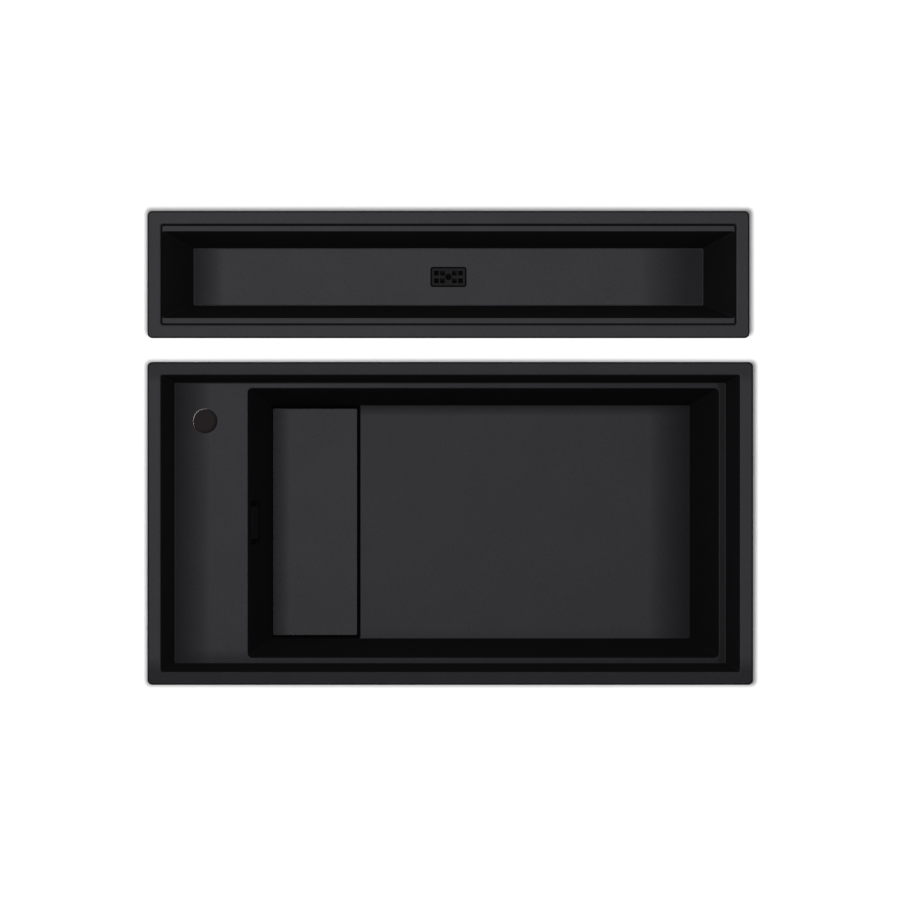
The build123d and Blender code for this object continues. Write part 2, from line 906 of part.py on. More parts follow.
# Trough body, whose left end is level with the sink's
trough_x = (trough_length - sink_length) / 2
trough_y = sink_width / 2 + trough_gap + trough_width / 2
trough_open_x = trough_length / 2 - rim_width
trough_open_y = trough_width / 2 - rim_width
trough_floor_x = trough_open_x - trough_draft_ends
rail_outer = trough_open_y - rail_draft
rail_inner = rail_outer - rail_width
rail_x = part_way(trough_open_x, trough_floor_x, rail_depth / trough_depth)
trough_floor_y = rail_inner - trough_draft_sides
trough_pad_y = part_way(trough_open_y, rail_outer, rim_thickness / rail_depth) + wall
trough_clip_places = side_clip_places(trough_pad_y, trough_side_clips, trough_x, trough_y)
rail_under = rail_depth + wall
trough_under = trough_depth + trough_floor_thickness
trough_under_share = (trough_under - rail_depth) / (trough_depth - rail_depth)
trough_boss_z = -trough_under - trough_boss_height
trough_boss_length = grate_length + 2 * trough_boss_margin
trough_boss_width = grate_width + 2 * trough_boss_margin


def trough_tray(z, x_half, y_half, radius):
    return tray(z, trough_x - x_half, trough_x + x_half, y_half, radius, trough_y)


with BuildPart() as trough_body:
    # Rim
    extrude(
        trough_tray(-rim_thickness, trough_length / 2, trough_width / 2, rim_corner),
        amount=rim_thickness,
    )
    # Outside of the rails
    rail_under_x = part_way(trough_open_x, trough_floor_x, rail_under / trough_depth) + wall
    rail_under_y = part_way(trough_open_y, rail_outer, rail_under / rail_depth) + wall
    outside_x = trough_open_x + wall
    outside_y = trough_open_y + wall
    loft(
        [
            trough_tray(0, outside_x, outside_y, outer_corner),
            trough_tray(-rail_under, rail_under_x, rail_under_y, outer_corner),
        ],
        ruled=True,
    )
    # Outside of the channel
    under_x = part_way(rail_x, trough_floor_x, trough_under_share) + wall
    under_y = part_way(rail_inner, trough_floor_y, trough_under_share) + wall
    loft(
        [
            trough_tray(-rail_depth, rail_x + wall, rail_inner + wall, outer_corner),
            trough_tray(-trough_under, under_x, under_y, outer_corner),
        ],
        ruled=True,
    )
    with Locations(*trough_clip_places):
        add(clip_pad.part)
    # Boss under the drain
    with BuildSketch(Plane.XY.offset(trough_boss_z)):
        with Locations((trough_x, trough_y)):
            RectangleRounded(trough_boss_length, trough_boss_width, grate_corner + trough_boss_margin)
    extrude(amount=trough_boss_height + trough_floor_thickness / 2)
    # Space above the rails
    loft(
        [
            trough_tray(0, trough_open_x, trough_open_y, basin_corner),
            trough_tray(-rail_depth, rail_x, rail_outer, basin_corner),
        ],
        ruled=True,
        mode=Mode.SUBTRACT,
    )
    # Channel
    loft(
        [
            trough_tray(-rail_depth, rail_x, rail_inner, basin_corner),
            trough_tray(-trough_depth, trough_floor_x, trough_floor_y, basin_corner),
        ],
        ruled=True,
        mode=Mode.SUBTRACT,
    )
    rim_face = level_face(trough_body.part, 0)
    fillet(rim_face.outer_wire().edges() + rim_face.inner_wires()[0].edges(), rim_round)
    floor_face = level_face(trough_body.part, -trough_depth)
    fillet(floor_face.outer_wire().edges(), foot_round)
    # Recess and window of the drain
    with BuildSketch(Plane.XY.offset(-trough_depth)):
        with Locations((trough_x, trough_y)):
            RectangleRounded(
                grate_length + 2 * grate_gap,
                grate_width + 2 * grate_gap,
                grate_corner + grate_gap,
            )
    extrude(amount=-grate_recess, mode=Mode.SUBTRACT)
    with BuildSketch(Plane.XY.offset(-trough_depth)):
        with Locations((trough_x, trough_y)):
            RectangleRounded(grate_window_length, grate_window_width, grate_corner)
    extrude(amount=-trough_floor_thickness - trough_boss_height, mode=Mode.SUBTRACT)
    # Holes for the clips' inserts
    with BuildSketch(*[Plane(place) for place in trough_clip_places]):
        Circle(insert_radius + insert_clearance)
    extrude(amount=-insert_length - insert_clearance, mode=Mode.SUBTRACT)
trough_body.part.label = "trough_body"

# Drain grate, its screw and the trap body that the screw pulls up under the trough
grate_z = -trough_depth - grate_recess
head_z = grate_z + grate_thickness - grate_head_height / 2

with BuildPart() as drain_grate:
    with BuildSketch(Plane.XY.offset(grate_z)):
        with Locations((trough_x, trough_y)):
            RectangleRounded(grate_length, grate_width, grate_corner)
            with Locations((-grate_hole_offset, 0), (grate_hole_offset, 0)):
                with GridLocations(grate_hole_pitch, grate_row_pitch, 2, 2):
                    Rectangle(grate_hole, grate_hole, mode=Mode.SUBTRACT)
            Circle(grate_screw_radius + screw_clearance, mode=Mode.SUBTRACT)
    extrude(amount=grate_thickness)
    with BuildSketch(Plane.XY.offset(head_z)):
        with Locations((trough_x, trough_y)):
            Circle(grate_head_radius + screw_clearance)
    extrude(amount=grate_head_height, mode=Mode.SUBTRACT)
drain_grate.part.label = "drain_grate"

trap_z = trough_boss_z - trough_gasket
trap_under = trap_z - trap_depth
trap_spigot_radius = trough_pipe_radius + spigot_wall
trap_spigot_z = trap_under - trap_wall - spigot_length
trap_width = 2 * (trough_pipe_radius + trap_wall)
post_top = trap_z - trap_wall
post_low = post_top - trap_depth / 2

with BuildPart() as grate_screw:
    revolve(
        half_section(
            trough_x,
            trough_y,
            [
                (0, post_low),
                (grate_screw_radius, post_low),
                (grate_screw_radius, head_z),
                (grate_head_radius, head_z),
                (grate_head_radius, head_z + grate_head_height),
                (0, head_z + grate_head_height),
            ],
        ),
        axis=upright(trough_x, trough_y),
    )
    with BuildSketch(Plane.XY.offset(head_z + grate_head_height)):
        with Locations((trough_x, trough_y)):
            RegularPolygon(grate_head_socket, 6)
    extrude(amount=-grate_head_height / 2, mode=Mode.SUBTRACT)
grate_screw.part.label = "grate_screw"

with BuildPart() as trough_gasket_ring:
    with BuildSketch(Plane.XY.offset(trap_z)):
        with Locations((trough_x, trough_y)):
            RectangleRounded(
                grate_window_length + 2 * trough_gasket_rim,
                trap_width + 2 * trough_gasket_rim,
                grate_corner + trough_gasket_rim,
            )
            RectangleRounded(grate_window_length, trap_width, grate_corner, mode=Mode.SUBTRACT)
    extrude(amount=trough_gasket)
trough_gasket_ring.part.label = "trough_gasket"

with BuildPart() as trough_trap:
    with BuildSketch(Plane.XY.offset(trap_z - trap_flange)):
        with Locations((trough_x, trough_y)):
            RectangleRounded(trough_boss_length, trough_boss_width, grate_corner + trough_boss_margin)
    extrude(amount=trap_flange)
    with BuildSketch(Plane.XY.offset(trap_under - trap_wall)):
        with Locations((trough_x, trough_y)):
            RectangleRounded(
                grate_window_length + 2 * trap_wall,
                trap_width + 2 * trap_wall,
                grate_corner + trap_wall,
            )
    extrude(amount=trap_depth + trap_wall)
    with BuildSketch(Plane.XY.offset(trap_spigot_z)):
        with Locations((trough_x, trough_y)):
            Circle(trap_spigot_radius)
    extrude(amount=spigot_length + trap_wall)
    with BuildSketch(Plane.XY.offset(trap_under)):
        with Locations((trough_x, trough_y)):
            RectangleRounded(grate_window_length, trap_width, grate_corner)
    extrude(amount=trap_depth, mode=Mode.SUBTRACT)
    with BuildSketch(Plane.XY.offset(trap_spigot_z)):
        with Locations((trough_x, trough_y)):
            Circle(trough_pipe_radius)
    extrude(amount=spigot_length + trap_wall, mode=Mode.SUBTRACT)
    with BuildSketch(Plane.XY.offset(post_low)):
        with Locations((trough_x, trough_y)):
            Rectangle(body_arm_width, trap_width + trap_wall)
            Circle(trap_post_radius)
            Circle(grate_screw_radius + screw_clearance, mode=Mode.SUBTRACT)
    extrude(amount=trap_depth / 2)
trough_trap.part.label = "trough_trap"

trough_tail_pipe = tail_pipe(trough_x, trough_y, trap_spigot_z, trough_pipe_radius, trough_pipe_length)
trough_tail_pipe.label = "trough_tail_pipe"
trough_tail_washer = tail_washer(trough_x, trough_y, trap_spigot_z, trough_pipe_radius)
trough_tail_washer.label = "trough_tail_washer"
trough_tail_nut = tail_nut(trough_x, trough_y, trap_spigot_z, trough_pipe_radius)
trough_tail_nut.label = "trough_tail_nut"


# Sealing tape under each rim
def rim_seal(half_x, half_y, x_mid, y_mid):
    outer_x = half_x - seal_inset
    outer_y = half_y - seal_inset
    with BuildPart() as seal:
        with BuildSketch(Plane.XY.offset(-rim_thickness - seal_thickness)):
            with Locations((x_mid, y_mid)):
                RectangleRounded(2 * outer_x, 2 * outer_y, rim_corner)
                Rectangle(
                    2 * (outer_x - seal_width),
                    2 * (outer_y - seal_width),
                    mode=Mode.SUBTRACT,
                )
        extrude(amount=seal_thickness)
    return seal.part


sink_seal = rim_seal(sink_length / 2, sink_width / 2, 0, 0)
sink_seal.label = "sink_seal"
trough_seal = rim_seal(trough_length / 2, trough_width / 2, trough_x, trough_y)
trough_seal.label = "trough_seal"

# One fixing clip in the axes of a clip place: a bent strip whose foot bites the worktop's underside
tooth_top = insert_drop - rim_thickness - seal_thickness - worktop_thickness
foot_top = tooth_top - clip_tooth
foot_low = foot_top - clip_gauge
with BuildPart() as clip:
    with BuildSketch(Plane.YZ.offset(-clip_width / 2)):
        with BuildLine():
            Polyline(
                (clip_rise, 0),
                (clip_rise, clip_gauge),
                (foot_top, clip_gauge),
                (foot_top, clip_reach - clip_gauge),
                (tooth_top, clip_reach - clip_gauge),
                (tooth_top, clip_reach),
                (foot_low, clip_reach),
                (foot_low, 0),
                close=True,
            )
        make_face()
    extrude(amount=clip_width)
    bends = clip.edges().filter_by(Axis.X)
    fillet(bends.sort_by_distance((0, foot_low, 0))[0], clip_bend + clip_gauge)
    bends = clip.edges().filter_by(Axis.X)
    fillet(bends.sort_by_distance((0, foot_top, clip_gauge))[0], clip_bend)
    with BuildSketch(Plane.XY):
        SlotOverall(clip_slot_length, 2 * clip_slot_radius, rotation=90)
    extrude(amount=clip_gauge, mode=Mode.SUBTRACT)

with BuildPart() as clip_insert:
    with BuildSketch(Plane.XY):
        Circle(insert_radius)
        Circle(clip_screw_radius + insert_clearance, mode=Mode.SUBTRACT)
    extrude(amount=-insert_length)

with BuildPart() as clip_screw:
    with BuildSketch(Plane.XY.offset(clip_gauge)):
        Circle(clip_screw_radius)
    extrude(amount=-clip_gauge - insert_length)
    with BuildSketch(Plane.XY.offset(clip_gauge)):
        Circle(clip_head_radius)
    extrude(amount=clip_head_height)
    chamfer(level_face(clip_screw.part, clip_gauge + clip_head_height).edges(), clip_head_bevel)


def placed(piece, places, name):
    with BuildPart() as group:
        with Locations(*places):
            add(piece.part)
    group.part.label = name
    return group.part


sink_inserts = placed(clip_insert, sink_clip_places, "sink_inserts")
sink_clips = placed(clip, sink_clip_places, "sink_clips")
sink_clip_screws = placed(clip_screw, sink_clip_places, "sink_clip_screws")
trough_inserts = placed(clip_insert, trough_clip_places, "trough_inserts")
trough_clips = placed(clip, trough_clip_places, "trough_clips")
trough_clip_screws = placed(clip_screw, trough_clip_places, "trough_clip_screws")

os.makedirs("parts", exist_ok=True)
export_step(sink_body.part, "parts/sink_body.step")
export_step(drain_cover.part, "parts/drain_cover.step")
export_step(cover_feet.part, "parts/cover_feet.step")
export_step(waste_flange.part, "parts/waste_flange.step")
export_step(flange_gasket, "parts/flange_gasket.step")
export_step(strainer_basket.part, "parts/strainer_basket.step")
export_step(basket_stopper, "parts/basket_stopper.step")
export_step(basket_stem.part, "parts/basket_stem.step")
export_step(waste_body.part, "parts/waste_body.step")
export_step(body_gasket, "parts/body_gasket.step")
export_step(waste_screw.part, "parts/waste_screw.step")
export_step(sink_tail_nut, "parts/sink_tail_nut.step")
export_step(sink_tail_washer, "parts/sink_tail_washer.step")
export_step(sink_tail_pipe, "parts/sink_tail_pipe.step")
export_step(overflow_cover.part, "parts/overflow_cover.step")
export_step(overflow_housing.part, "parts/overflow_housing.step")
export_step(overflow_gasket_ring.part, "parts/overflow_gasket.step")
export_step(overflow_screws.part, "parts/overflow_screws.step")
export_step(sink_seal, "parts/sink_seal.step")
export_step(sink_inserts, "parts/sink_inserts.step")
export_step(sink_clips, "parts/sink_clips.step")
export_step(sink_clip_screws, "parts/sink_clip_screws.step")
export_step(trough_body.part, "parts/trough_body.step")
export_step(drain_grate.part, "parts/drain_grate.step")
export_step(grate_screw.part, "parts/grate_screw.step")
export_step(trough_trap.part, "parts/trough_trap.step")
export_step(trough_gasket_ring.part, "parts/trough_gasket.step")
export_step(trough_tail_nut, "parts/trough_tail_nut.step")
export_step(trough_tail_washer, "parts/trough_tail_washer.step")
export_step(trough_tail_pipe, "parts/trough_tail_pipe.step")
export_step(trough_seal, "parts/trough_seal.step")
export_step(trough_inserts, "parts/trough_inserts.step")
export_step(trough_clips, "parts/trough_clips.step")
export_step(trough_clip_screws, "parts/trough_clip_screws.step")
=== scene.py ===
import bpy
import math
from mathutils import Matrix, Vector


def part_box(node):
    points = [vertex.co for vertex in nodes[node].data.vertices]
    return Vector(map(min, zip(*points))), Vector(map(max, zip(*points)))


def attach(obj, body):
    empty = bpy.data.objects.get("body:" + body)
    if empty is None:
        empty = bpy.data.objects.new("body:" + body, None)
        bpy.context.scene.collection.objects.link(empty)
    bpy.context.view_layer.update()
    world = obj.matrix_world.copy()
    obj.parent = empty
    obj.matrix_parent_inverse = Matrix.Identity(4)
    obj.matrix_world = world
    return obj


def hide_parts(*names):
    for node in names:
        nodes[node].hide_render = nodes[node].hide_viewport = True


# A black granite sink and its accessory trough, seen from straight above on a white studio floor.
# Metres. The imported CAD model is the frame: origin in the middle of the sink's rim, Z up.

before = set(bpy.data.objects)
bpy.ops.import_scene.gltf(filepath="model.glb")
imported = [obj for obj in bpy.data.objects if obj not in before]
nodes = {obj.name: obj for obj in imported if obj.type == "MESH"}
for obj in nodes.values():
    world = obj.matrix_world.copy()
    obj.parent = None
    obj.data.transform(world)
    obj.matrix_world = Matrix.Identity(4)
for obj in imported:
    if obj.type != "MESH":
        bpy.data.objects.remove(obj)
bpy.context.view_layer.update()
bpy.ops.object.select_all(action="DESELECT")
print("frame loaded:", len(nodes), "nodes")


# Camera

camera = {"place": (-0.0003, 0.1043, 10.65), "lens": 300.0, "farClip": 100.0}
middleY = camera["place"][1]

cameraData = bpy.data.cameras.new("camera")
cameraData.sensor_width = 36.0
cameraData.lens = camera["lens"]
cameraData.clip_end = camera["farClip"]
cameraObject = bpy.data.objects.new("camera", cameraData)
cameraObject.location = camera["place"]
bpy.context.scene.collection.objects.link(cameraObject)
bpy.context.scene.camera = cameraObject
bpy.context.scene.view_settings.view_transform = "Standard"
print("camera set")


# Small helpers for shader nodes

def addNode(tree, kind, settings=None, values=None):
    # a shader node with its settings, and with numbers in its input sockets
    made = tree.nodes.new("ShaderNode" + kind)
    for name, value in (settings or {}).items():
        setattr(made, name, value)
    for socket, value in (values or {}).items():
        made.inputs[socket].default_value = value
    return made


def newMaterial(name, values):
    # a material with one Principled shader, its constants set on the shader's own sockets
    made = bpy.data.materials.new(name)
    made.use_nodes = True
    shader = made.node_tree.nodes["Principled BSDF"]
    for socket, value in values.items():
        shader.inputs[socket].default_value = value
    return made, made.node_tree, shader


def grey(level):
    return (level, level, level, 1.0)


def mathNode(tree, operation, first, second=None, third=None):
    # each of the values is a number or another node's output
    made = addNode(tree, "Math", {"operation": operation})
    for socket, value in enumerate((first, second, third)):
        if value is None:
            continue
        if isinstance(value, (int, float)):
            made.inputs[socket].default_value = value
        else:
            tree.links.new(value, made.inputs[socket])
    return made.outputs[0]


def product(tree, *values):
    total = values[0]
    for value in values[1:]:
        total = mathNode(tree, "MULTIPLY", total, value)
    return total


def rangeNode(tree, value, low, high, lowTo=0.0, highTo=1.0, smooth=False):
    kind = "SMOOTHSTEP" if smooth else "LINEAR"
    made = addNode(tree, "MapRange", {"interpolation_type": kind, "clamp": True})
    tree.links.new(value, made.inputs["Value"])
    for socket, number in zip(("From Min", "From Max", "To Min", "To Max"), (low, high, lowTo, highTo)):
        made.inputs[socket].default_value = number
    return made.outputs["Result"]


# Where a Mix node has its share, its two colours and its mixed colour
mixSockets = (0, 6, 7)
mixResult = 2


def mixColor(tree, share, first, second, blend="MIX"):
    made = addNode(tree, "Mix", {"data_type": "RGBA", "blend_type": blend, "clamp_factor": True})
    for socket, value in zip(mixSockets, (share, first, second)):
        if isinstance(value, (int, float, tuple)):
            made.inputs[socket].default_value = value
        else:
            tree.links.new(value, made.inputs[socket])
    return made.outputs[mixResult]


def objectCoords(tree):
    return addNode(tree, "TexCoord").outputs["Object"]


def textureNode(tree, kind, vector, values, output):
    made = addNode(tree, "Tex" + kind, {}, values)
    tree.links.new(vector, made.inputs["Vector"])
    return made.outputs[output]


# Nearly all of a noise texture's values lie between these two
noiseSpan = (0.3, 0.7)


def addRelief(tree, shader, height, strength, depth):
    bump = addNode(tree, "Bump", {}, {"Strength": strength, "Distance": depth})
    tree.links.new(height, bump.inputs["Height"])
    tree.links.new(bump.outputs["Normal"], shader.inputs["Normal"])


# The floor is white paper. Far from the object it is kept white for the camera, where the lamp fades.
floor = {
    "height": -0.3915,
    "size": 16.0,
    "color": 0.9,
    "rough": 0.9,
    "nearGlow": 0.06,
    "glowFrom": 0.75,
    "glowTo": 2.2,
}

bpy.ops.mesh.primitive_plane_add(size=floor["size"], location=(0.0, middleY, floor["height"]))
floorObject = bpy.context.object
floorObject.name = "studioFloor"
paper = {"Base Color": grey(floor["color"]), "Roughness": floor["rough"], "Specular IOR Level": 0.0}
floorMaterial, tree, shader = newMaterial("studioPaper", paper)
rays = addNode(tree, "LightPath")
seen = mathNode(tree, "MAXIMUM", rays.outputs["Is Camera Ray"], rays.outputs["Is Glossy Ray"])
seen = mathNode(tree, "MAXIMUM", seen, rays.outputs["Is Transmission Ray"])
distance = addNode(tree, "VectorMath", {"operation": "LENGTH"})
tree.links.new(objectCoords(tree), distance.inputs[0])
glow = rangeNode(
    tree, distance.outputs["Value"], floor["glowFrom"], floor["glowTo"], floor["nearGlow"], 1.0, True
)
shader.inputs["Emission Color"].default_value = grey(1.0)
tree.links.new(mathNode(tree, "MULTIPLY", glow, seen), shader.inputs["Emission Strength"])
floorObject.data.materials.append(floorMaterial)

# Two dark discs of paper lie on the floor under the tap hole and the trough's outlet: painted shade,
# which makes these openings dark where they would show bare white floor
discs = {
    "tapHoleShadeDisc": {"place": (-0.3600, 0.1467), "radius": 0.0181, "color": (0.0155, 0.0130, 0.0136, 1.0)},
    "outletShadeDisc": {"place": (-0.0026, 0.3590), "radius": 0.030, "color": (0.004, 0.004, 0.004, 1.0)},
}
discHeight = 0.0008
discSides = 64
stageObjects = [floorObject]
for name, disc in discs.items():
    bpy.ops.mesh.primitive_circle_add(
        vertices=discSides,
        radius=disc["radius"],
        fill_type="NGON",
        location=(*disc["place"], floor["height"] + discHeight),
    )
    discObject = bpy.context.object
    discObject.name = name
    card = {"Base Color": disc["color"], "Roughness": floor["rough"], "Specular IOR Level": 0.0}
    discObject.data.materials.append(newMaterial(name, card)[0])
    stageObjects.append(discObject)
bpy.ops.object.select_all(action="DESELECT")

# Each lamp's strength is the light it gives on a level surface, where 1 shows a colour as written.
# The floor has its own lamp below the camera, so that the shadow is as tight as in the photograph.
lamps = {
    "softbox": {"place": (-0.45, 0.62, 4.6), "size": 0.9, "strength": 0.54, "lights": "object"},
    "topLamp": {"place": (0.0, 0.15, 6.5), "size": 0.7, "strength": 0.33, "lights": "object"},
    "floorLamp": {"place": (-0.026, 0.0760, 8.45), "size": 0.223, "strength": 1.12, "lights": "floor"},
}
onlyStage = bpy.data.collections.new("lightsOnlyTheFloor")
notStage = bpy.data.collections.new("lightsOnlyTheObject")
for stageObject in stageObjects:
    onlyStage.objects.link(stageObject)
    notStage.objects.link(stageObject)
for member in notStage.collection_objects:
    member.light_linking.link_state = "EXCLUDE"

target = Vector((0.0, middleY, 0.0))
for name, lamp in lamps.items():
    data = bpy.data.lights.new(name, "AREA")
    data.shape = "DISK"
    data.size = lamp["size"]
    reach = (Vector(lamp["place"]) - target).length
    data.energy = lamp["strength"] * math.pi * math.pi * reach * reach
    lampObject = bpy.data.objects.new(name, data)
    lampObject.location = lamp["place"]
    lampObject.rotation_euler = (target - Vector(lamp["place"])).to_track_quat("-Z", "Y").to_euler()
    bpy.context.scene.collection.objects.link(lampObject)
    receivers = onlyStage if lamp["lights"] == "floor" else notStage
    lampObject.light_linking.receiver_collection = receivers

# The room is white to the camera, and gives the object a weak even light and reflection
room = {"reflection": 0.30, "ambient": 0.26}
world = bpy.data.worlds.new("whiteRoom")
bpy.context.scene.world = world
world.use_nodes = True
tree = world.node_tree
background = tree.nodes["Background"]
rays = addNode(tree, "LightPath")
mirrored = mathNode(tree, "MULTIPLY", rays.outputs["Is Glossy Ray"], room["reflection"])
lit = mathNode(tree, "MAXIMUM", rays.outputs["Is Camera Ray"], mirrored)
tree.links.new(mathNode(tree, "MAXIMUM", lit, room["ambient"]), background.inputs["Strength"])
background.inputs["Color"].default_value = grey(1.0)
print("studio set")


# Granite: quartz grains in a black resin, matt where the mould was smooth and rougher outside.
# Slopes are the upright part of a surface's normal: 1 looks up, 0 sideways and -1 down.
# leftSlope and edgeTurn are its part along X instead.
granite = {
    "color": (0.0130, 0.0127, 0.0151, 1.0),
    "rough": 0.50,
    "specular": 0.085,
    "paintedShadeColor": 0.5,
    "paintedShadeRough": 0.80,
    "wallShade": 0.25,
    "wallRough": 0.97,
    "wallSlopes": (0.30, 0.42),
    "recessShade": 0.02,
    "recessRough": 1.0,
    "outsideColor": (0.0210, 0.0207, 0.0232, 1.0),
    "outsideRough": 0.74,
    "levelReach": 0.0045,
    "outwardLeast": 0.002,
    "downSlope": -0.3,
    "edgeHighlight": 2.4,
    "rimEdgeShade": 0.25,
    "rimEdgeLow": -0.004,
    "rimEdgeSlope": 0.15,
    "leftSlope": -0.3,
    "rimBand": (-0.0150, -0.0120),
    "driftSize": 14.0,
    "drift": (0.94, 1.06),
    "edgeRise": (0.30, 0.55),
    "edgeFall": (0.93, 0.985),
    "edgeTurn": (0.10, 0.35, 0.45, 1.0),
    "grainSize": 620.0,
    "grainDepth": 0.00012,
    "speckleSize": 1500.0,
    "speckle": (0.72, 1.35),
    "skinSize": 168.0,
    "skinDepth": 3.0,
    "relief": 0.5,
}

# What each cast piece has of its own. Below recess, and inside the boxes in hollows, painted shade makes
# it nearly black.
# A painted shade follows the photograph: on the surface at that level, the shade falls along an axis from
# 1 at light to least at dark.
# A casting's tone and its rim's tone are painted light and shade: the same granite made lighter or darker
# on each piece and on its rim, as the light falls on it.
castings = {
    "sink_body": {
        "middle": 0.0,
        "tone": 1.05,
        "rimPaintedLight": 1.0,
        "paintedShades": (
            {"axis": 0, "dark": -0.3965, "light": -0.3430, "level": -0.065, "least": 0.0},
            {"axis": 0, "dark": 0.3860, "light": 0.3780, "level": -0.065, "least": 0.2},
            {"axis": 0, "dark": 0.3900, "light": -0.2800, "level": -0.065, "least": 0.6},
            {"axis": 1, "dark": -0.1990, "light": -0.1800, "level": -0.065, "least": 0.6},
            {"axis": 0, "dark": 0.3420, "light": 0.2880, "level": -0.230, "least": 0.1},
            {"axis": 1, "dark": 0.1689, "light": 0.1540, "level": -0.230, "least": 0.45},
            {"axis": 1, "dark": -0.1689, "light": -0.1540, "level": -0.230, "least": 0.9},
            {"axis": 1, "dark": 0.2110, "light": 0.2000, "level": 0.0, "least": 0.82},
            {"axis": 1, "dark": -0.2110, "light": -0.1900, "level": 0.0, "least": 0.52},
        ),
        "recess": -0.2325,
        "hollows": (
            ((-0.310, -0.272), (-0.0315, 0.0315), (-0.150, -0.085)),  # the overflow's pocket
            ((-0.260, -0.1295), (-0.175, 0.175), (-0.266, -0.2325)),  # the sump
        ),
    },
    "drain_cover": {
        "middle": 0.0,
        "tone": 1.32,
        "rimPaintedLight": 1.0,
        "hollows": (),
        "paintedShades": ({"axis": 0, "dark": -0.2580, "light": -0.2330, "level": -0.230, "least": 0.30},),
        "recess": -0.2350,
    },
    "trough_body": {
        "middle": 0.3535,
        "tone": 1.50,
        "rimPaintedLight": 0.76,
        "hollows": (),
        "paintedShades": (
            {"axis": 0, "dark": -0.3650, "light": -0.3270, "level": -0.150, "least": 0.30},
            {"axis": 0, "dark": 0.3420, "light": 0.2750, "level": -0.150, "least": 0.30},
        ),
        "recess": -0.1506,
    },
}


def castingShade(tree, place, casting):
    # painted shade: 1 in the open, and less where a level surface runs up to a wall or an edge, or lies
    # away from the light
    shade = 1.0
    for fade in casting["paintedShades"]:
        near = mathNode(tree, "COMPARE", place.outputs["Z"], fade["level"], granite["levelReach"])
        ramp = rangeNode(tree, place.outputs[fade["axis"]], fade["dark"], fade["light"], fade["least"])
        ramp = mathNode(tree, "MAXIMUM", ramp, mathNode(tree, "SUBTRACT", 1.0, near))
        shade = mathNode(tree, "MULTIPLY", ramp, shade)
    return shade


def insideBox(tree, place, box):
    # 1 inside a box given as a range along each axis
    total = 1.0
    for axis, (low, high) in enumerate(box):
        near = mathNode(tree, "COMPARE", place.outputs[axis], (low + high) / 2, (high - low) / 2)
        total = mathNode(tree, "MULTIPLY", near, total)
    return total


